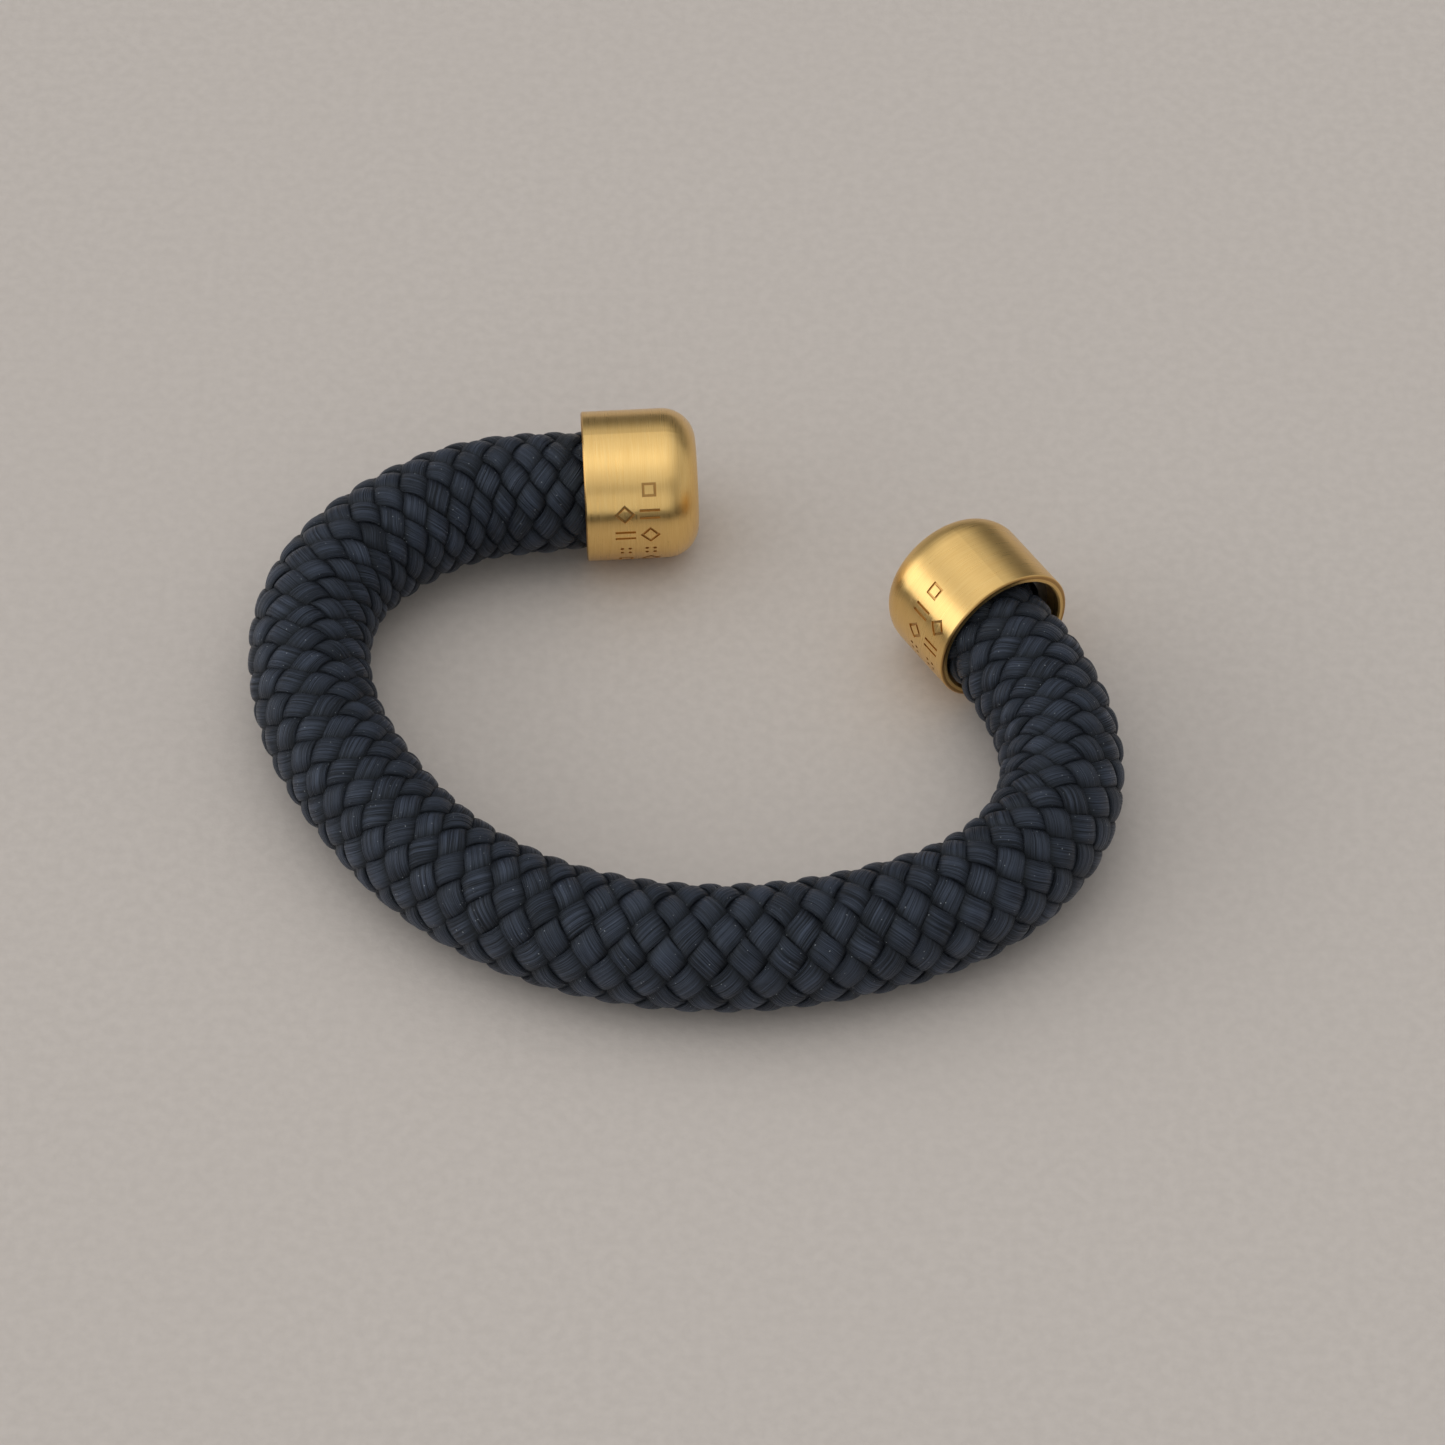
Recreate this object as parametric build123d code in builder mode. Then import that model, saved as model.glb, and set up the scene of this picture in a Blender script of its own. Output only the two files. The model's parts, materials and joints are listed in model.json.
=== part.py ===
from build123d import *
import os
from math import cos, pi, radians, sin, tan

# An open cuff bracelet: a C of braided rope round a spring wire, with a metal cap
# glued over each end. Millimetres. The C lies on the table, +Z up, seen in plan with
# its gap at the back right.

# Driving dimensions
ROPE_RADIUS = 6.0
COVER_THICKNESS = 1.4
WIRE_RADIUS = 1.0

CAP_RADIUS = 7.4
CAP_LENGTH = 11.2
CAP_WALL = 0.85
CAP_END_WALL = 0.9
CAP_SHOULDER = 3.3
RIM_CHAMFER = 0.15

ROPE_IN_CAP = 7.8
GLUE_SETBACK = 2.0
BINDING_LENGTH = 4.6
BINDING_THICKNESS = 0.5
CAP_INSETS = {"left": 0.4, "right": 0.45}

MARK_DEPTH = 0.16
MARK_STROKE = 0.26
MARK_SIZE = 2.0
MARK_ROWS = {"left": (3.85, 6.3), "right": (1.95, 4.6)}
FIRST_MARKS = {"left": 47.5, "right": -43.0}
MARK_STEP = 19.0

FLEX_GAP = 0.25

SIDES = (("left", -1), ("right", 1))

# The rope's route in plan, from inside the left cap round to inside the right cap
ROUTE = [
    (-2.0, 28.4),
    (-11.5, 27.9),
    (-22.6, 26.7),
    (-33.1, 18.7),
    (-36.6, 9.2),
    (-35.1, -1.8),
    (-30.1, -11.3),
    (-23.6, -19.8),
    (-14.6, -26.3),
    (-3.6, -29.8),
    (7.4, -30.3),
    (17.9, -28.3),
    (28.9, -23.8),
    (35.9, -14.8),
    (36.4, -4.3),
    (31.8, 6.4),
    (26.5, 14.5),
]

# Worked out from the dimensions above
CORE_RADIUS = ROPE_RADIUS - COVER_THICKNESS
BORE_RADIUS = CAP_RADIUS - CAP_WALL
BORE_DEPTH = CAP_LENGTH - CAP_END_WALL
BORE_SHOULDER = CAP_SHOULDER - CAP_WALL
BINDING_SEAT = ROPE_RADIUS - BINDING_THICKNESS
SOCKET_RADIUS = ROPE_RADIUS + FLEX_GAP

# The rope touches the table at the front, and the larger caps lift its ends, so the
# C lies in a plane that leans a little.
FRONT_TOUCH = Vector(-14.1, -26.1, ROPE_RADIUS)
LEFT_TOUCH = Vector(-9.8, 28.4, CAP_RADIUS)
RIGHT_TOUCH = Vector(31.3, 8.3, CAP_RADIUS)


def leaning_plane():
    """The plane of the C, with its own x and y almost along the world's."""
    normal = (RIGHT_TOUCH - FRONT_TOUCH).cross(LEFT_TOUCH - FRONT_TOUCH).normalized()
    along_x = Vector(normal.Z, 0, -normal.X)
    height = FRONT_TOUCH.dot(normal) / normal.Z
    return Plane(origin=(0, 0, height), x_dir=along_x, z_dir=normal)


LIE = leaning_plane()


# ---- rope route: straight runs joined by the largest tangent arcs they allow

def corner_radii(points):
    """One radius per corner: 0.45 of the shorter run over the tangent of half the turn."""
    radii = []
    for before, corner, after in zip(points, points[1:], points[2:]):
        run_in = Vector(*corner) - Vector(*before)
        run_out = Vector(*after) - Vector(*corner)
        half_turn = radians(run_in.get_angle(run_out)) / 2
        radii.append(0.45 * min(run_in.length, run_out.length) / tan(half_turn))
    return radii


RADII = corner_radii(ROUTE)
print("arc radii:", [round(radius, 1) for radius in RADII])

with BuildLine(LIE) as rope_line:
    FilletPolyline(*ROUTE, radius=RADII)
ROPE_PATH = rope_line.wire()
ROPE_ENDS = {
    "left": Plane(origin=ROPE_PATH @ 0, x_dir=LIE.z_dir, z_dir=-(ROPE_PATH % 0)),
    "right": Plane(origin=ROPE_PATH @ 1, x_dir=LIE.z_dir, z_dir=ROPE_PATH % 1),
}


def rope_layer(outer, inner=0.0):
    """One layer of the rope along its whole route: a tube, or a rod where inner is 0."""
    with BuildPart() as layer:
        with BuildSketch(ROPE_ENDS["left"]):
            Circle(outer)
            if inner:
                Circle(inner, mode=Mode.SUBTRACT)
        sweep(path=ROPE_PATH)
    return layer.part


# ---- flex joints: a ball about the middle of each side bend cuts the rope in three

PARTING_X = 12.0
ZONE = 60.0


def bend_pivot(side):
    """The point where the route runs straight to the back, far left (-1) or right (1)."""
    bends = ROPE_PATH.edges().filter_by(GeomType.CIRCLE).sort_by(Axis.X)
    bend = bends[0] if side < 0 else bends[-1]
    return bend.arc_center + LIE.x_dir * side * bend.radius


def arm_zone(side, ball_radius):
    """All that moves with one arm: a ball about the pivot, and the space behind it."""
    pivot = LIE.to_local_coords(bend_pivot(side))
    outward = Align.MAX if side < 0 else Align.MIN
    with BuildPart(LIE) as zone:
        with Locations((PARTING_X, pivot.Y)):
            Box(ZONE, ZONE, ZONE, align=(outward, Align.MIN, Align.CENTER))
        with Locations(pivot):
            Sphere(ball_radius)
    return zone.part


for side_name, side in SIDES:
    print(side_name, "pivot:", bend_pivot(side))
print("hinge axis:", LIE.z_dir)


# ---- the rope's ends: bindings, adhesive and caps

def end_band(rope_end, outer):
    """A ring round the rope's last few millimetres, from the binding's seat outwards."""
    with BuildPart() as band:
        with BuildSketch(rope_end):
            Circle(outer)
            Circle(BINDING_SEAT, mode=Mode.SUBTRACT)
        extrude(amount=-BINDING_LENGTH)
    return band.part


def cap_seat(rope_end, side, inset):
    """The plane of a cap's mouth, its axis parallel to the rope's end. Inset is how far
    the rope sits off the cap's axis, towards the inside of the C."""
    outward = rope_end.y_dir * side
    mouth = rope_end.origin - rope_end.z_dir * ROPE_IN_CAP + outward * inset
    return Plane(origin=mouth, x_dir=rope_end.x_dir, z_dir=rope_end.z_dir)


def round_cup(seat, radius, depth, shoulder):
    """A solid rod from the seat, with a rounded far end."""
    with BuildPart() as cup:
        with BuildSketch(seat):
            Circle(radius)
        extrude(amount=depth)
        fillet(cup.edges().sort_by(Axis(seat.origin, seat.z_dir))[-1], shoulder)
    return cup.part


def draw_mark(kind):
    """One engraved ornament on the current sketch."""
    if kind == "lozenge":
        RegularPolygon(MARK_SIZE / 2, 4)
        RegularPolygon(MARK_SIZE / 2 - 1.4 * MARK_STROKE, 4, mode=Mode.SUBTRACT)
    elif kind == "bars":
        with GridLocations(0, 3 * MARK_STROKE, 1, 2):
            Rectangle(MARK_SIZE, MARK_STROKE)
    elif kind == "square":
        side = 0.7 * MARK_SIZE
        Rectangle(side, side)
        Rectangle(side - 2 * MARK_STROKE, side - 2 * MARK_STROKE, mode=Mode.SUBTRACT)
    elif kind == "dots":
        with GridLocations(3 * MARK_STROKE, 3 * MARK_STROKE, 2, 2):
            Circle(0.7 * MARK_STROKE)


def engraving(seat, rows, first_angle, step):
    """Cutters for two rows of ornaments round a cap."""
    kinds = ["lozenge", "bars", "dots", "square", "bars", "lozenge", "dots"]
    with BuildPart() as cutters:
        for row, distance in enumerate(rows):
            for index in range(len(kinds)):
                angle = radians(first_angle + step * (index + 1 - row))
                radial = seat.x_dir * cos(angle) + seat.y_dir * sin(angle)
                mark_floor = seat.origin + seat.z_dir * distance + radial * (CAP_RADIUS - MARK_DEPTH)
                with BuildSketch(Plane(origin=mark_floor, x_dir=seat.z_dir, z_dir=radial)):
                    draw_mark(kinds[(index + 3 * row) % len(kinds)])
                extrude(amount=4 * MARK_DEPTH)
    return cutters.part


def end_cap(seat, marks):
    """A drawn cup with a rounded closed end, a thin rim and engraved ornaments."""
    axis = Axis(seat.origin, seat.z_dir)
    with BuildPart() as cap:
        add(round_cup(seat, CAP_RADIUS, CAP_LENGTH, CAP_SHOULDER))
        add(round_cup(seat, BORE_RADIUS, BORE_DEPTH, BORE_SHOULDER), mode=Mode.SUBTRACT)
        chamfer(cap.edges().filter_by(GeomType.CIRCLE).group_by(axis)[0], RIM_CHAMFER)
        add(marks, mode=Mode.SUBTRACT)
    return cap


def adhesive(seat):
    """The glue between the rope's end and the cap, set back from the mouth."""
    with BuildPart() as glue:
        add(round_cup(seat, BORE_RADIUS, BORE_DEPTH, BORE_SHOULDER))
        with BuildSketch(seat):
            Circle(CAP_RADIUS)
        extrude(amount=GLUE_SETBACK, mode=Mode.SUBTRACT)
        add(ROPE, mode=Mode.SUBTRACT)
    return glue


# ---- make every piece and save it as its own node

def save(piece, name):
    """Label a finished piece and write its STEP file."""
    piece.part.label = name
    export_step(piece.part, f"parts/{name}.step")


os.makedirs("parts", exist_ok=True)
ROPE = rope_layer(ROPE_RADIUS)
LAYERS = {
    "cover": rope_layer(ROPE_RADIUS, CORE_RADIUS),
    "core": rope_layer(CORE_RADIUS, WIRE_RADIUS),
    "wire": rope_layer(WIRE_RADIUS),
}
print("rope length:", round(ROPE_PATH.length, 1))
print("volume over section:", round(ROPE.volume / (pi * ROPE_RADIUS**2), 1))

for layer_name, layer in LAYERS.items():
    with BuildPart() as back_length:
        add(layer)
        add(arm_zone(-1, SOCKET_RADIUS), mode=Mode.SUBTRACT)
        add(arm_zone(1, SOCKET_RADIUS), mode=Mode.SUBTRACT)
    save(back_length, f"{layer_name}_back")

    for side_name, side in SIDES:
        with BuildPart() as arm_length:
            add(layer)
            add(arm_zone(side, ROPE_RADIUS), mode=Mode.INTERSECT)
            if layer_name == "cover":
                add(end_band(ROPE_ENDS[side_name], CAP_RADIUS), mode=Mode.SUBTRACT)
        save(arm_length, f"{layer_name}_{side_name}")

for side_name, side in SIDES:
    rope_end = ROPE_ENDS[side_name]
    with BuildPart() as binding:
        add(end_band(rope_end, ROPE_RADIUS))
    save(binding, f"binding_{side_name}")

    seat = cap_seat(rope_end, side, CAP_INSETS[side_name])
    print(side_name, "cap mouth:", seat.origin, "closed end:", seat.offset(CAP_LENGTH).origin)
    print(side_name, "cap axis:", seat.z_dir)
    marks = engraving(seat, MARK_ROWS[side_name], FIRST_MARKS[side_name], -side * MARK_STEP)
    save(adhesive(seat), f"adhesive_{side_name}")
    save(end_cap(seat, marks), f"cap_{side_name}")
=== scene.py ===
"""An open cuff bracelet: a C of braided navy rope with a brushed gold cap over each end,
lying on warm grey paper. Metres throughout; sizes given in millimetres are times MM."""
import json
from math import cos, pi, radians, sin

import bpy
import numpy as np
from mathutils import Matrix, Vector


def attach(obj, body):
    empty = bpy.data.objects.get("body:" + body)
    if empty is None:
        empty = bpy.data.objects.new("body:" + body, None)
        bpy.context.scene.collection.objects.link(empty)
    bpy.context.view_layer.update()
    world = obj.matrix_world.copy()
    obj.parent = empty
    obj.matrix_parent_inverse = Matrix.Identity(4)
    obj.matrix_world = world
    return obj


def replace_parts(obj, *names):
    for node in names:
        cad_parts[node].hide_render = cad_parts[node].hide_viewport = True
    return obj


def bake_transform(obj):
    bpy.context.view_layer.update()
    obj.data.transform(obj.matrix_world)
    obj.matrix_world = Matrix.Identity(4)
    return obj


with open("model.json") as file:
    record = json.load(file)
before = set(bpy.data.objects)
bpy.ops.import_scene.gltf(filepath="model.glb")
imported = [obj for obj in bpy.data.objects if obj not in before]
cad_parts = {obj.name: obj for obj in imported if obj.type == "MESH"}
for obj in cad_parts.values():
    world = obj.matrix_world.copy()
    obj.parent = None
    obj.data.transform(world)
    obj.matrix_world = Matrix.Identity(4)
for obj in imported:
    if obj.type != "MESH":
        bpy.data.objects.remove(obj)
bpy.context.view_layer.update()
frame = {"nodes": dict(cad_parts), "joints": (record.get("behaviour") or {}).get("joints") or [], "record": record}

MM = 0.001
SIDES = ("left", "right")

# ---- the rope's route: part.py's points, as control points of one smooth spline

ROUTE = [
    (-0.0020, 0.0284, 0.00749),
    (-0.0115, 0.0279, 0.00737),
    (-0.0226, 0.0267, 0.00720),
    (-0.0331, 0.0187, 0.00688),
    (-0.0366, 0.0092, 0.00660),
    (-0.0351, -0.0018, 0.00635),
    (-0.0301, -0.0113, 0.00617),
    (-0.0236, -0.0198, 0.00604),
    (-0.0146, -0.0263, 0.00599),
    (-0.0036, -0.0298, 0.00604),
    (0.0074, -0.0303, 0.00616),
    (0.0179, -0.0283, 0.00633),
    (0.0289, -0.0238, 0.00658),
    (0.0359, -0.0148, 0.00688),
    (0.0364, -0.0043, 0.00715),
    (0.0318, 0.0064, 0.00736),
    (0.0265, 0.0145, 0.00750),
]
ROUTE_STEPS = 60

# The camera looks down on the C from the front
AIM = Vector((3.9, -1.8, 6.0)) * MM
ELEVATION = radians(48)
DISTANCE = 600 * MM
LENS = 155.8

# The studio: its brightness all round, overhead, and low down in front and to each side,
# and the size of the paper in metres
ROOM_GLOW = 0.14
OVERHEAD_GLOW = 0.79
FRONT_GLOW = 0.62
LEFT_GLOW = 1.6
RIGHT_GLOW = 0.40
PAPER_SIZE = 6.0

# The braid: seven bundles wound each way, each passing over one and under one
BUNDLES = 7
BUNDLE_THICKNESS = 0.74 * MM
BUNDLE_FILL = 1.18
ROPE_RADIUS = 6.0 * MM
WAVE = 0.36 * MM
WAVE_FLATNESS = 0.08
SWING = 0.19 * MM
SECTION_POINTS = 28
SECTION_SQUARENESS = 2.35
RING_STEP = 0.26 * MM
END_INSET = 1.2 * MM
FIRST_ROW = radians(13)
LEAN = 0.44
SIZE_WANDER = 0.03
ANGLE_WANDER = 0.014

# Its pitch, crossing to crossing along the rope, at places along it in millimetres:
# drawn out at the front of the C
PITCHES = [(0, 2.95), (60, 2.95), (80, 3.05), (100, 3.38), (120, 3.38), (136, 3.0),
           (150, 2.7), (160, 2.9)]

# Each bundle's UV map lies on a stretch of its own, in millimetres
BUNDLE_UV_WIDTH = 6.0
BUNDLE_UV_STEP = 20
HAND_UV_STEP = 200

# Inside the rope
CORE_RADIUS = 4.5 * MM
CORE_YARNS = 22
CORE_YARN_RIDGE = 0.18 * MM
CORE_TWIST = 4 * MM
WIRE_RADIUS = 1.0 * MM
ROPE_IN_CAP = 7.8 * MM
BINDING_LENGTH = 4.6 * MM
BINDING_RADIUS = 5.5 * MM
BINDING_TURNS = 4

# How far the braid is drawn in at a cap's mouth, and where it is full size again
SHARE_AT_MOUTH = 0.965
FULL_SIZE_AT = 1.6 * ROPE_IN_CAP
GLUE_SHOWS_TO = 5.5 * MM

# The caps
CAP_RADIUS = 7.4 * MM
CAP_SHOULDER = 3.3 * MM

# Colours, linear
NAVY_SHADE = (0.0012, 0.0020, 0.0045, 1)
NAVY_LIGHT = (0.051, 0.065, 0.098, 1)
NAVY_GLUED = (0.008, 0.010, 0.012, 1)
# painted shade for the creases between the bundles
NAVY_PAINTED_SHADE = (0.0015, 0.002, 0.003, 1)
LINT = (0.42, 0.46, 0.50, 1)
GOLD_DEEP = (0.83, 0.53, 0.18, 1)
GOLD_PALE = (0.94, 0.66, 0.27, 1)
GOLD_HANDLED = (0.84, 0.54, 0.20, 1)
# painted shade for the sunk floors of the engraved marks
GOLD_MARK_SHADE = (0.33, 0.14, 0.035, 1)

# Worked out from the sizes above
MID_RADIUS = ROPE_RADIUS - WAVE - BUNDLE_THICKNESS / 2


def read_route():
    """Points along the rope's centreline, read from the spline."""
    curve = bpy.data.curves.new("rope_route", "CURVE")
    curve.dimensions = "3D"
    curve.resolution_u = ROUTE_STEPS
    spline = curve.splines.new("NURBS")
    spline.points.add(len(ROUTE) - 1)
    for point, place in zip(spline.points, ROUTE):
        point.co = (*place, 1.0)
    spline.order_u = 3
    spline.use_endpoint_u = True
    guide = bpy.data.objects.new("rope_route", curve)
    mesh = bpy.data.meshes.new_from_object(guide)
    points = np.array([vertex.co for vertex in mesh.vertices])
    bpy.data.meshes.remove(mesh)
    bpy.data.objects.remove(guide)
    bpy.data.curves.remove(curve)
    return points


class Rope:
    """The centreline, and the frame that turns along it: outward of the C, and up."""

    def __init__(self, points, up):
        runs = np.linalg.norm(np.diff(points, axis=0), axis=1)
        self.points = points
        self.at = np.concatenate([[0.0], np.cumsum(runs)])
        self.length = self.at[-1]
        self.up = np.array(up)
        ahead = np.gradient(points, self.at, axis=0)
        self.ahead = ahead / np.linalg.norm(ahead, axis=1, keepdims=True)

    def line(self, along):
        """Points on the centreline, carried on straight past its two ends."""
        inside = np.clip(along, 0.0, self.length)
        point = np.stack([np.interp(inside, self.at, column) for column in self.points.T], -1)
        return point + (along - inside)[..., None] * self.direction(along)

    def direction(self, along):
        ahead = np.stack([np.interp(along, self.at, column) for column in self.ahead.T], -1)
        return ahead / np.linalg.norm(ahead, axis=-1, keepdims=True)

    def surface(self, along, angle, radius):
        """Points round the centreline; angle 0 is the outside of the C and 90 degrees is up."""
        outward = np.cross(self.direction(along), self.up)
        outward /= np.linalg.norm(outward, axis=-1, keepdims=True)
        return (self.line(along)
                + (radius * np.cos(angle))[..., None] * outward
                + (radius * np.sin(angle))[..., None] * self.up)


def smooth(low, high, value):
    """0 below low, 1 above high, and a smooth step between them."""
    share = np.clip((value - low) / (high - low), 0.0, 1.0)
    return share * share * (3 - 2 * share)


def from_end(along):
    """How far a place on the rope is from its nearer end."""
    return np.minimum(along, rope.length - along)


def squeeze(along):
    """How much the bindings and the glue draw the rope in near its ends."""
    end = from_end(along)
    bound = BINDING_RADIUS / ROPE_RADIUS - 0.01
    under_cap = bound + (SHARE_AT_MOUTH - bound) * smooth(BINDING_LENGTH, ROPE_IN_CAP, end)
    return under_cap + (1.0 - SHARE_AT_MOUTH) * smooth(ROPE_IN_CAP, FULL_SIZE_AT, end)


# ---- meshes

def tube_mesh(name, rings, uv_across, uv_along, values=None):
    """A closed tube through rings of points, with a UV map in millimetres."""
    count, around = rings.shape[:2]
    ring, column = np.meshgrid(np.arange(count - 1), np.arange(around), indexing="ij")
    following = (column + 1) % around
    corners = np.stack([ring * around + column, ring * around + following,
                        (ring + 1) * around + following, (ring + 1) * around + column], -1)
    faces = [tuple(face) for face in corners.reshape(-1, 4).tolist()]
    first, last = list(range(around)), list(range((count - 1) * around, count * around))
    mesh = bpy.data.meshes.new(name)
    mesh.from_pydata(rings.reshape(-1, 3).tolist(), [], faces + [tuple(first[::-1]), tuple(last)])

    across = np.stack([uv_across[column], uv_across[column + 1],
                       uv_across[column + 1], uv_across[column]], -1)
    along = np.stack([uv_along[ring], uv_along[ring], uv_along[ring + 1], uv_along[ring + 1]], -1)
    sides = np.stack([across, along], -1).reshape(-1, 2)
    ends = np.zeros((2 * around, 2))
    layer = mesh.uv_layers.new(name="lay")
    layer.data.foreach_set("uv", np.concatenate([sides, ends]).ravel())
    mesh.polygons.foreach_set("use_smooth", [True] * len(faces) + [False] * 2)
    for key, value in (values or {}).items():
        attribute = mesh.attributes.new(key, "FLOAT", "POINT")
        attribute.data.foreach_set("value", np.asarray(value, np.float32).ravel())
    return mesh


def add_piece(name, mesh, surface):
    piece = bpy.data.objects.new(name, mesh)
    bpy.context.scene.collection.objects.link(piece)
    mesh.materials.append(surface)
    return piece


def bend_with(piece):
    """Bakes the piece's placement into its mesh; nothing here binds it to the flex joint."""
    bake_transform(piece)


def wander(rng, along, size):
    """A slow irregularity along the rope, the same each time."""
    total = np.zeros_like(along)
    for wavelength in (7 * MM, 13 * MM, 31 * MM):
        total += rng.uniform(-1, 1) * np.sin(2 * pi * along / wavelength + rng.uniform(0, 2 * pi))
    return size * total


def wave(crossing):
    """A bundle's rise and fall: 1 on top of a crossing, -1 under the next one."""
    turn = pi * crossing
    return (np.cos(turn) - WAVE_FLATNESS * np.cos(3 * turn)) / (1 - WAVE_FLATNESS)


def pitch(along):
    """The braid's pitch at a place on the rope."""
    places, pitches = np.array(PITCHES).T * MM
    return np.interp(along, places, pitches)


def pitches_to(along):
    """How many pitches there are from the rope's start to a place on it."""
    grown = np.diff(rope.at) / pitch((rope.at[1:] + rope.at[:-1]) / 2)
    return np.interp(along, rope.at, np.concatenate([[0.0], np.cumsum(grown)]))


def bundle_rings(start, end, hand, index, rng):
    """Rings of points along one bundle, its UV map, and its tone, glue and lift at each
    point. Hand is 1 or -1, for the two ways that bundles wind. Lift is 1 on the crowns."""
    middle = np.linspace(start, end, int(2 * (end - start) / RING_STEP))[:, None]
    turn = np.linspace(0, 2 * pi, SECTION_POINTS, endpoint=False)[None, :]
    slope = np.arctan(2 * pi * MID_RADIUS / (BUNDLES * pitch(middle)))
    count = pitches_to(middle)
    crossing = 2 * count + (hand < 0)

    swung = np.arctan(SWING * pi / (pitch(middle) / 2 / np.cos(slope)))
    full_width = BUNDLE_FILL * pitch(middle) * np.sin(slope - swung)
    width = full_width * (1 + wander(rng, middle, SIZE_WANDER))
    thickness = BUNDLE_THICKNESS * (1 + wander(rng, middle, SIZE_WANDER))
    power = 2 / SECTION_SQUARENESS
    across = width / 2 * np.sign(np.cos(turn)) * np.abs(np.cos(turn)) ** power
    rise = thickness / 2 * np.sign(np.sin(turn)) * np.abs(np.sin(turn)) ** power
    sideways = across - hand * SWING * np.sin(pi * crossing)

    along = middle - hand * np.sin(slope) * sideways
    angle = (2 * pi / BUNDLES * (index + hand * count) + np.cos(slope) * sideways / MID_RADIUS
             + FIRST_ROW + wander(rng, middle, ANGLE_WANDER))
    beside = (angle - FIRST_ROW) * BUNDLES / (2 * pi) - index - hand * pitches_to(along)
    here = crossing - LEAN * hand * beside
    lift = (WAVE * wave(here) + rise) / (WAVE + thickness / 2)
    radius = (MID_RADIUS + WAVE * wave(here) + rise) * squeeze(along)

    patch = np.floor(count + 0.25 + 0.5 * (hand > 0)).astype(int)
    tone = np.broadcast_to(rng.normal(0, 1, patch.max() + 1)[patch], along.shape)
    soaked = 1 - smooth(ROPE_IN_CAP + 0.5 * MM, ROPE_IN_CAP + GLUE_SHOWS_TO,
                        from_end(along) + wander(rng, along, 0.8 * MM))
    uv_across = (np.linspace(0, BUNDLE_UV_WIDTH, SECTION_POINTS + 1)
                 + BUNDLE_UV_STEP * index + HAND_UV_STEP * (hand > 0))
    uv_along = np.cumsum(np.diff(middle[:, 0], prepend=start) / np.cos(slope[:, 0])) / MM
    values = {"tone": tone, "glue": soaked, "lift": lift}
    return rope.surface(along, angle, radius), uv_across, uv_along, values


def split_place(hand):
    """Where a bundle's two halves meet, hidden under the crossing nearest the middle."""
    under = 0.5 if hand > 0 else 0.0
    wanted = round(float(pitches_to(rope.length / 2)) - under) + under
    places = np.linspace(0, rope.length, 4000)
    return float(np.interp(wanted, pitches_to(places), places))


def braid(side, surface):
    """The bundles of this half of the rope."""
    bundles = []
    for hand, letter in ((1, "s"), (-1, "z")):
        meeting = split_place(hand)
        start, end = (END_INSET, meeting) if side == "left" else (meeting, rope.length - END_INSET)
        for index in range(BUNDLES):
            rng = np.random.RandomState(100 * (hand > 0) + 10 * index + (side == "right"))
            rings, across, along, values = bundle_rings(start, end, hand, index, rng)
            name = f"bundle_{side}_{letter}{index + 1}"
            bundle = add_piece(name, tube_mesh(name, rings, across, along, values), surface)
            bend_with(bundle)
            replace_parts(bundle, "cover_back", f"cover_{side}")
            bundles.append(bundle)
    return bundles


def half_span(side):
    """Where this half of the core and the wire starts and ends."""
    middle = rope.length / 2
    return (END_INSET, middle) if side == "left" else (middle, rope.length - END_INSET)


def straight_rod(name, side, radius, ridges, ridge, surface, around, step):
    """A rod along half the rope, ridged where it is a bundle of yarns."""
    start, end = half_span(side)
    along = np.linspace(start, end, int((end - start) / step))[:, None]
    turn = np.linspace(0, 2 * pi, around, endpoint=False)[None, :]
    reach = radius - ridge + ridge * np.abs(np.sin(ridges / 2 * turn + along / CORE_TWIST))
    reach = reach * squeeze(along) if ridges else reach + 0 * along
    rings = rope.surface(along + 0 * turn, turn + 0 * along, reach)
    across = np.linspace(0, 2 * pi * radius / MM, around + 1)
    return add_piece(name, tube_mesh(name, rings, across, along[:, 0] / MM), surface)


def core(side, surface):
    yarns = straight_rod(f"core_yarns_{side}", side, CORE_RADIUS, CORE_YARNS, CORE_YARN_RIDGE,
                         surface, 88, 0.6 * MM)
    bend_with(yarns)
    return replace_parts(yarns, "core_back", f"core_{side}")


def wire(side, surface):
    steel = straight_rod(f"spring_wire_{side}_half", side, WIRE_RADIUS, 0, 0.0,
                         surface, 24, 0.5 * MM)
    bend_with(steel)
    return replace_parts(steel, "wire_back", f"wire_{side}")


def whipping(side, surface):
    """The tape wound round the rope's end inside the cap, each turn lapped on the last."""
    inner, outer = BINDING_RADIUS, ROPE_RADIUS - 0.05 * MM
    outline = [(0.0, inner)]
    for wrap in range(BINDING_TURNS):
        near, far = wrap / BINDING_TURNS, (wrap + 1) / BINDING_TURNS
        outline += [(near + 0.02, outer - 0.22 * MM), (near + 0.10, outer - 0.14 * MM),
                    (far - 0.06, outer - 0.03 * MM), (far - 0.01, outer - 0.08 * MM)]
    outline += [(1.0, inner)]
    share, reach = np.array(outline).T
    around = 96
    turn = np.linspace(0, 2 * pi, around, endpoint=False)[:, None]
    end = share[None, :] * BINDING_LENGTH + 0 * turn
    along = end if side == "left" else rope.length - end
    rings = rope.surface(along, turn + 0 * along, reach[None, :] + 0 * turn)
    if side == "left":
        rings = rings[:, ::-1]
    name = f"whipping_{side}"
    tape = add_piece(name, ring_mesh(name, rings), surface)
    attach(tape, f"{side}_arm")
    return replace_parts(tape, f"binding_{side}")


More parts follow.
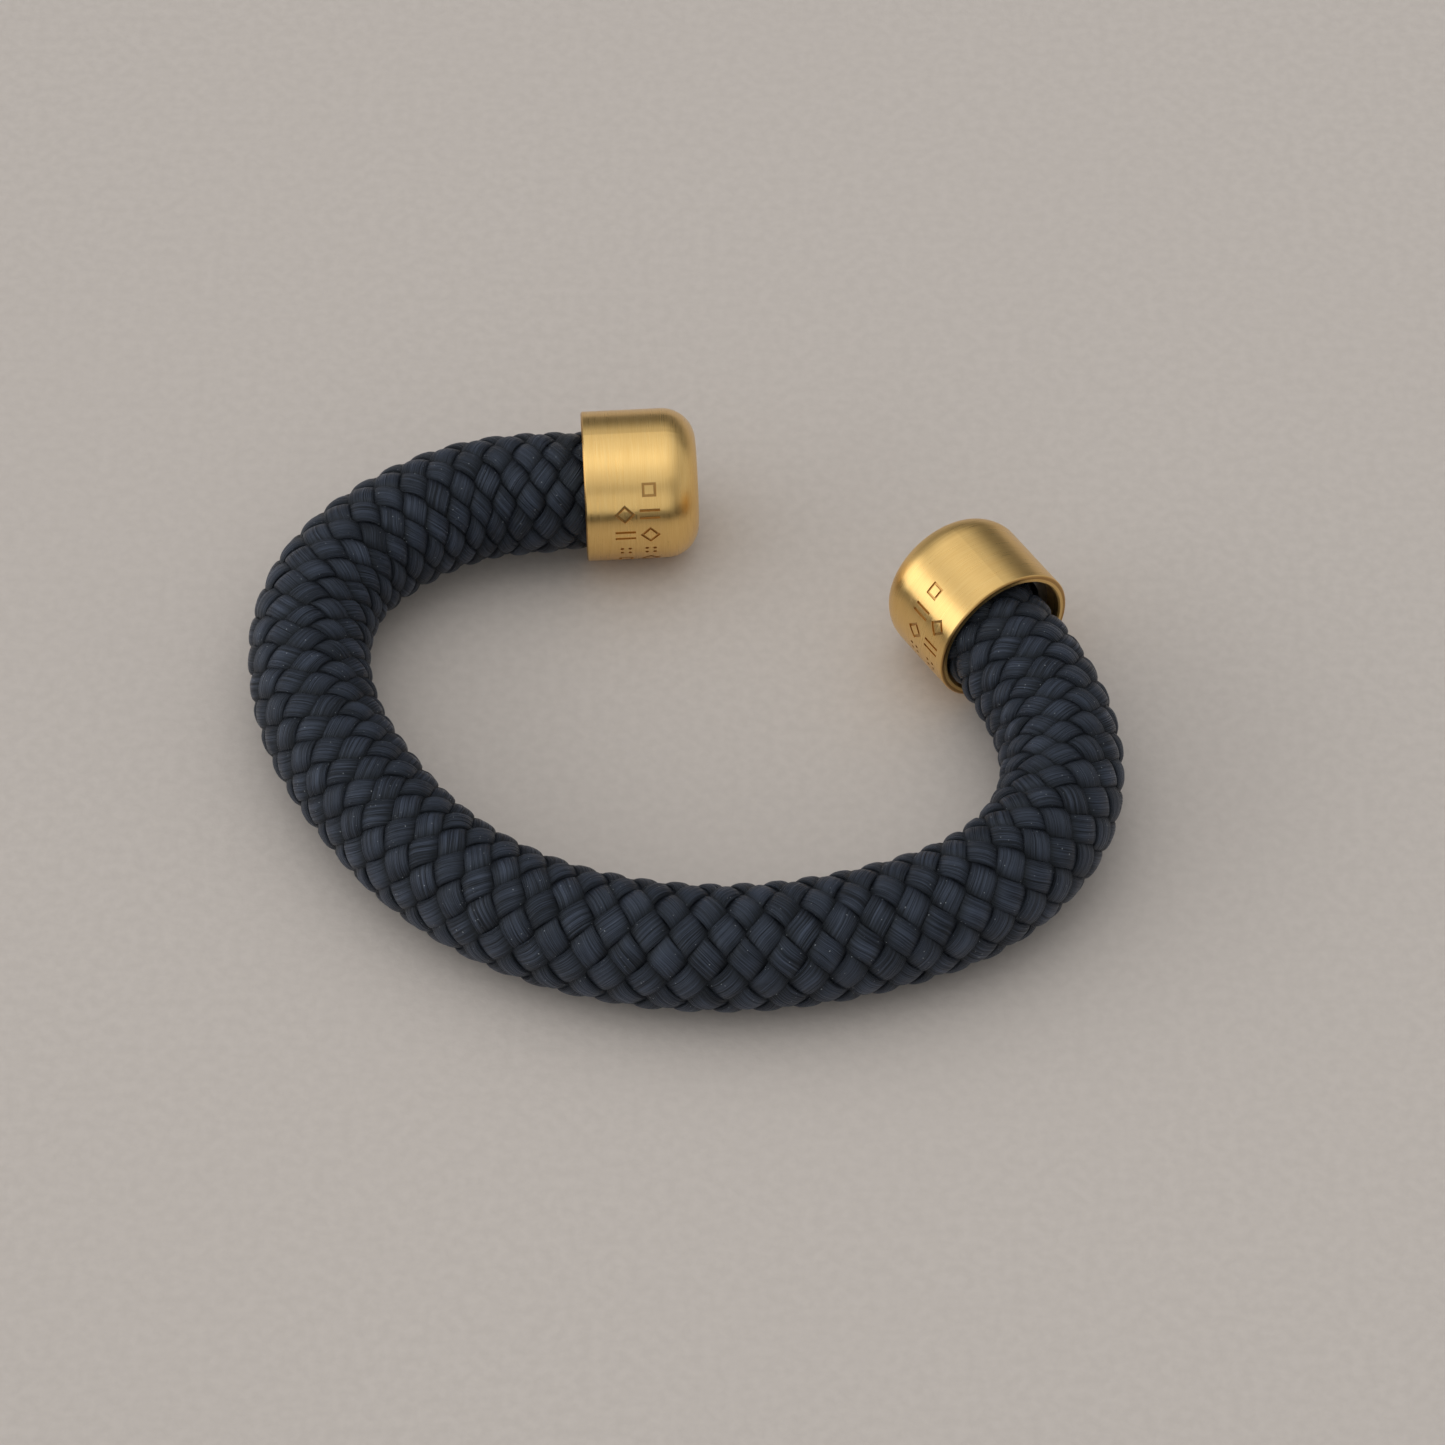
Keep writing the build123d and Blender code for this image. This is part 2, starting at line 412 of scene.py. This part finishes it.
def ring_mesh(name, sections):
    """A closed ring through sections, each a closed outline."""
    count, around = sections.shape[:2]
    section, column = np.meshgrid(np.arange(count), np.arange(around), indexing="ij")
    after, following = (section + 1) % count, (column + 1) % around
    corners = np.stack([section * around + column, section * around + following,
                        after * around + following, after * around + column], -1)
    mesh = bpy.data.meshes.new(name)
    mesh.from_pydata(sections.reshape(-1, 3).tolist(), [], corners.reshape(-1, 4).tolist())
    mesh.polygons.foreach_set("use_smooth", [True] * len(mesh.polygons))
    return mesh


# ---- materials

class Surface:
    """A Principled material, with short ways to add and link nodes."""

    def __init__(self, name, **settings):
        self.material = bpy.data.materials.new(name)
        self.material.use_nodes = True
        self.tree = self.material.node_tree
        self.shader = self.tree.nodes["Principled BSDF"]
        self.set(self.shader, settings)

    def set(self, node, settings):
        for key, value in settings.items():
            socket = node.inputs[key if isinstance(key, int) else key.replace("_", " ")]
            if isinstance(value, bpy.types.NodeSocket):
                self.tree.links.new(value, socket)
            else:
                socket.default_value = value

    def node(self, kind, out=0, options=None, **settings):
        """Add a node, and return one of its outputs."""
        node = self.tree.nodes.new("ShaderNode" + kind)
        for key, value in (options or {}).items():
            setattr(node, key, value)
        self.set(node, settings)
        return node.outputs[out]

    def math(self, operation, *values):
        node = self.tree.nodes.new("ShaderNodeMath")
        node.operation = operation
        self.set(node, dict(enumerate(values)))
        return node.outputs[0]

    def vector(self, operation, *values, out=0):
        node = self.tree.nodes.new("ShaderNodeVectorMath")
        node.operation = operation
        self.set(node, dict(enumerate(values)))
        return node.outputs[out]

    def noise(self, place, scale=1.0, detail=2.0):
        return self.node("TexNoise", Vector=place, Scale=scale, Detail=detail)

    def ramp(self, value, low, high, bottom=0.0, top=1.0):
        """Value carried from the range low to high to the range bottom to top, clamped."""
        return self.node("MapRange", Value=value, **{"From_Min": low, "From_Max": high,
                                                     "To_Min": bottom, "To_Max": top})

    def mix(self, share, first, second):
        node = self.tree.nodes.new("ShaderNodeMix")
        node.data_type = "RGBA"
        for socket, value in ((0, share), (6, first), (7, second)):
            self.set(node, {socket: value})
        return node.outputs[2]

    def bump(self, height, distance, normal=None):
        settings = {"Height": height, "Distance": distance}
        if normal is not None:
            settings["Normal"] = normal
        return self.node("Bump", **settings)

    def finish(self, **settings):
        self.set(self.shader, settings)
        return self.material


def attribute(surface, name):
    return surface.node("Attribute", out=2, options={"attribute_name": name})


def braid_material():
    """Navy multifilament yarn: fine filaments along each bundle, painted shade that darkens it
    towards its edges where it dips under, and paler lint here and there."""
    yarn = Surface("navy_braid", Anisotropic=0.5, Specular_IOR_Level=0.32, Sheen_Weight=0.08,
                   Specular_Tint=(0.80, 0.90, 1.0, 1), Sheen_Roughness=0.5,
                   Sheen_Tint=(0.55, 0.65, 0.85, 1))
    lay = yarn.node("UVMap", options={"uv_map": "lay"})
    tone, glue, lift = (attribute(yarn, name) for name in ("tone", "glue", "lift"))
    drift = yarn.noise(yarn.vector("MULTIPLY", lay, (0.4, 0.25, 1.0)), detail=1.0)
    laid = yarn.vector("ADD", lay, scaled(yarn, (0.45, 0.0, 0.0), drift))
    hairs = yarn.noise(yarn.vector("MULTIPLY", laid, (26.0, 0.10, 1.0)))
    fine = yarn.noise(yarn.vector("MULTIPLY", laid, (13.0, 0.08, 1.0)))
    groups = yarn.noise(yarn.vector("MULTIPLY", laid, (4.0, 0.05, 1.0)), detail=1.0)
    cloud = yarn.noise(yarn.vector("MULTIPLY", lay, (0.5, 0.3, 1.0)))
    lint_lay = yarn.vector("MULTIPLY", lay, (0.9, 0.9, 1.0))
    lint_reach = yarn.node("TexVoronoi", out=0, Vector=lint_lay)
    lint_pick = yarn.node("TexVoronoi", out=1, Vector=lint_lay)
    picked = yarn.vector("DOT_PRODUCT", lint_pick, (1, 0, 0), out=1)
    lint = yarn.math("MULTIPLY", yarn.ramp(lint_reach, 0.20, 0.11),
                     yarn.math("GREATER_THAN", picked, 0.92))

    light = yarn.math("ADD", yarn.math("MULTIPLY", fine, 0.6), yarn.math("MULTIPLY", hairs, 0.4))
    light = yarn.math("ADD", light, yarn.math("MULTIPLY", tone, 0.014))
    clouding = yarn.math("MULTIPLY", yarn.math("SUBTRACT", cloud, 0.5), 0.22)
    light = yarn.math("ADD", light, clouding)
    colour = yarn.mix(yarn.ramp(light, 0.40, 0.63), NAVY_SHADE, NAVY_LIGHT)
    colour = yarn.mix(yarn.math("MULTIPLY", glue, 0.6), colour, NAVY_GLUED)
    # painted shade: the colour darkens to near black as the bundle sinks from its crown towards its edges and into
    # the creases under its neighbours
    colour = yarn.mix(yarn.ramp(lift, 0.98, 0.36, 0.0, 0.97), colour, NAVY_PAINTED_SHADE)
    colour = yarn.mix(yarn.math("MULTIPLY", lint, 0.8), colour, LINT)

    rough = yarn.math("ADD", yarn.ramp(fine, 0.35, 0.65, 0.54, 0.34),
                      yarn.math("MULTIPLY", glue, -0.2))
    ridges = yarn.bump(groups, 0.20 * MM)
    grooves = yarn.bump(fine, 0.16 * MM, ridges)
    threads = yarn.bump(hairs, 0.06 * MM, grooves)
    tangent = yarn.node("Tangent", options={"direction_type": "UV_MAP", "uv_map": "lay"})
    return yarn.finish(Base_Color=colour, Roughness=rough, Normal=threads, Tangent=tangent)


def core_material():
    """Dark core yarns, twisted along the rope."""
    yarn = Surface("core_yarns", Roughness=0.75)
    lay = yarn.node("UVMap", options={"uv_map": "lay"})
    fibres = yarn.noise(yarn.vector("MULTIPLY", lay, (6.0, 0.4, 1.0)))
    colour = yarn.mix(fibres, (0.004, 0.005, 0.008, 1), (0.012, 0.015, 0.022, 1))
    return yarn.finish(Base_Color=colour, Normal=yarn.bump(fibres, 0.05 * MM))


def wire_material():
    """Drawn spring steel, with fine lines along it."""
    steel = Surface("spring_steel", Metallic=1.0)
    lay = steel.node("UVMap", options={"uv_map": "lay"})
    lines = steel.noise(steel.vector("MULTIPLY", lay, (20.0, 0.3, 1.0)))
    colour = steel.mix(lines, (0.48, 0.48, 0.50, 1), (0.62, 0.62, 0.64, 1))
    return steel.finish(Base_Color=colour, Roughness=steel.ramp(lines, 0.3, 0.7, 0.25, 0.4),
                        Normal=steel.bump(lines, 0.01 * MM))


def tape_material():
    """Woven whipping tape."""
    tape = Surface("whipping_tape", Roughness=0.7)
    place = tape.node("TexCoord", out=3)
    weave = tape.node("TexWave", Vector=place, Scale=1100.0, Distortion=0.4)
    fuzz = tape.noise(place, 2500.0)
    colour = tape.mix(weave, (0.012, 0.012, 0.014, 1), (0.040, 0.040, 0.046, 1))
    return tape.finish(Base_Color=colour, Normal=tape.bump(tape.math("ADD", weave, fuzz), 0.03 * MM))


def glue_material():
    """Cured dark glue with small bubbles."""
    glue = Surface("cured_glue", Roughness=0.3, Coat_Weight=0.3)
    place = glue.node("TexCoord", out=3)
    clouds = glue.noise(place, 600.0, 3.0)
    bubbles = glue.node("TexVoronoi", Vector=place, Scale=1500.0)
    colour = glue.mix(clouds, (0.010, 0.010, 0.011, 1), (0.035, 0.034, 0.032, 1))
    return glue.finish(Base_Color=colour, Normal=glue.bump(bubbles, 0.03 * MM))


def gold_material(side):
    """Satin gold, brushed round the cap: short fine lines, with a few deeper ones."""
    mount = MOUNTS[f"cap_{side}_end"]
    axis = tuple(mount["axis"])
    gold = Surface(f"brushed_gold_{side}", Metallic=1.0, Anisotropic=0.6)
    place = gold.vector("SUBTRACT", gold.node("TexCoord", out=3), tuple(mount["pos_m"]))
    along = gold.vector("DOT_PRODUCT", place, axis, out=1)
    off_axis = gold.vector("SUBTRACT", place, scaled(gold, axis, along))
    reach = gold.vector("LENGTH", off_axis, out=1)
    round_cap = gold.vector("NORMALIZE", off_axis)
    lane = gold.math("DIVIDE", gold.math("SUBTRACT", along, reach), 0.045 * MM)
    stroke_place = gold.vector("ADD", scaled(gold, round_cap, 2.6), scaled(gold, axis, lane))
    strokes = gold.noise(stroke_place, detail=3.0)
    wide_place = gold.vector("ADD", scaled(gold, round_cap, 1.2),
                             scaled(gold, axis, gold.math("MULTIPLY", lane, 0.13)))
    bands = gold.noise(wide_place)
    handled = gold.noise(gold.node("TexCoord", out=3), 260.0, 3.0)

    # painted shade: the sunk floors of the engraved marks are mixed towards a deep brown
    sunk = gold.ramp(reach, CAP_RADIUS - 0.03 * MM, CAP_RADIUS - 0.10 * MM)
    mark_shade = gold.math("MULTIPLY", sunk, gold.math("GREATER_THAN", reach, CAP_RADIUS - 0.4 * MM))
    mark_shade = gold.math("MULTIPLY", mark_shade, gold.math("LESS_THAN", along, -CAP_SHOULDER))
    colour = gold.mix(gold.ramp(strokes, 0.3, 0.7), GOLD_DEEP, GOLD_PALE)
    colour = gold.mix(gold.ramp(handled, 0.45, 0.75, 0.0, 0.35), colour, GOLD_HANDLED)
    colour = gold.mix(gold.math("MULTIPLY", mark_shade, 0.65), colour, GOLD_MARK_SHADE)
    rough = gold.math("ADD", gold.ramp(strokes, 0.3, 0.7, 0.27, 0.37),
                      gold.ramp(bands, 0.3, 0.7, -0.03, 0.04))
    lines = gold.bump(strokes, 0.006 * MM, gold.bump(bands, 0.004 * MM))
    to_world = {"vector_type": "VECTOR", "convert_from": "OBJECT", "convert_to": "WORLD"}
    tangent = gold.node("VectorTransform", Vector=axis, options=to_world)
    return gold.finish(Base_Color=colour, Roughness=rough, Normal=lines, Tangent=tangent)


def scaled(surface, vector, size):
    """A vector times a number, either of them from a node."""
    node = surface.tree.nodes.new("ShaderNodeVectorMath")
    node.operation = "SCALE"
    surface.set(node, {0: vector, "Scale": size})
    return node.outputs[0]


def paper_material():
    """Warm grey paper with a soft grain."""
    paper = Surface("grey_paper", Roughness=0.85)
    place = paper.node("TexCoord", out=3)
    grain = paper.noise(place, 900.0, 4.0)
    patches = paper.noise(place, 14.0)
    colour = paper.mix(paper.ramp(grain, 0.35, 0.65),
                       (0.61, 0.562, 0.521, 1), (0.65, 0.600, 0.557, 1))
    colour = paper.mix(paper.ramp(patches, 0.35, 0.65, 0.0, 0.25), colour,
                       (0.62, 0.567, 0.525, 1))
    return paper.finish(Base_Color=colour, Normal=paper.bump(grain, 0.05 * MM))


# ---- the studio

def add_camera():
    camera = bpy.data.objects.new("camera", bpy.data.cameras.new("camera"))
    camera.data.lens = LENS
    camera.data.clip_start, camera.data.clip_end = 0.01, 20.0
    view = Vector((0, -cos(ELEVATION), sin(ELEVATION)))
    camera.location = AIM + DISTANCE * view
    camera.rotation_euler = view.to_track_quat("Z", "Y").to_euler()
    bpy.context.scene.collection.objects.link(camera)
    bpy.context.scene.camera = camera


def add_light(name, place, aim, size, watts, colour):
    light = bpy.data.lights.new(name, "AREA")
    light.shape, light.size, light.size_y = "RECTANGLE", *size
    light.energy, light.color = watts, colour
    lamp = bpy.data.objects.new(name, light)
    lamp.location = place
    lamp.rotation_euler = (Vector(place) - Vector(aim)).to_track_quat("Z", "Y").to_euler()
    bpy.context.scene.collection.objects.link(lamp)


def add_studio():
    half = PAPER_SIZE / 2
    mesh = bpy.data.meshes.new("paper")
    mesh.from_pydata([(-half, -half, 0), (half, -half, 0), (half, half, 0), (-half, half, 0)], [],
                     [(0, 1, 2, 3)])
    paper = bpy.data.objects.new("paper", mesh)
    bpy.context.scene.collection.objects.link(paper)
    mesh.materials.append(paper_material())

    add_surroundings()
    add_light("softbox", (-0.1, -0.1, 1.5), (0, 0, 0), (0.9, 0.6), 0.5, (1.0, 0.99, 0.98))
    bpy.context.scene.view_settings.view_transform = "Standard"


def add_surroundings():
    """A dim room with a broad glow overhead, and a glow low down in front and to each side."""
    world = bpy.data.worlds.new("studio")
    world.use_nodes = True
    bpy.context.scene.world = world
    tree = world.node_tree

    def node(kind, settings, out=0, **options):
        added = tree.nodes.new("ShaderNode" + kind)
        for key, value in options.items():
            setattr(added, key, value)
        for key, value in settings.items():
            if isinstance(value, bpy.types.NodeSocket):
                tree.links.new(value, added.inputs[key])
            else:
                added.inputs[key].default_value = value
        return added.outputs[out]

    def fade(value, low, high, top=1.0):
        return node("MapRange", {"Value": value, "From Min": low, "From Max": high, "To Max": top},
                    interpolation_type="SMOOTHSTEP")

    def times(first, second):
        return node("Math", {0: first, 1: second}, operation="MULTIPLY")

    toward = node("TexCoord", {})
    parts = tree.nodes.new("ShaderNodeSeparateXYZ")
    tree.links.new(toward, parts.inputs[0])
    right, back, up = parts.outputs
    overhead = node("VectorMath", {0: toward, 1: (-0.10, 0.04, 0.994)}, out=1,
                    operation="DOT_PRODUCT")
    glow = fade(overhead, 0.34, 0.97, OVERHEAD_GLOW)
    low = fade(up, 0.66, 0.42)
    ahead = fade(node("Math", {0: right}, operation="ABSOLUTE"), 0.60, 0.25)
    front = times(times(low, ahead), fade(back, 0.35, -0.10, FRONT_GLOW))
    beside = times(low, fade(back, 0.6, 0.3))
    left_side = times(beside, fade(right, -0.45, -0.85, LEFT_GLOW))
    right_side = times(beside, fade(right, 0.50, 0.90, RIGHT_GLOW))
    strength = ROOM_GLOW
    for share in (glow, front, left_side, right_side):
        strength = node("Math", {0: share, 1: strength}, operation="ADD")
    background = tree.nodes["Background"]
    background.inputs["Color"].default_value = (1.0, 0.99, 0.98, 1)
    tree.links.new(strength, background.inputs["Strength"])


# ---- make everything

JOINTS = {joint["name"]: joint for joint in frame["joints"]}
MOUNTS = {mount["name"]: mount for mount in frame["record"]["mounts"]}

add_camera()
rope = Rope(read_route(), JOINTS["left_flex"]["axis"])

braid_surface, core_surface, wire_surface = braid_material(), core_material(), wire_material()
tape_surface, glue_surface = tape_material(), glue_material()
for side in SIDES:
    bundles = braid(side, braid_surface)
    core_yarns = core(side, core_surface)
    held = bundles + [wire(side, wire_surface), whipping(side, tape_surface)]
    frame["nodes"][f"adhesive_{side}"].data.materials.clear()
    frame["nodes"][f"adhesive_{side}"].data.materials.append(glue_surface)
    frame["nodes"][f"cap_{side}"].data.materials.clear()
    frame["nodes"][f"cap_{side}"].data.materials.append(gold_material(side))

add_studio()

bpy.context.view_layer.update()
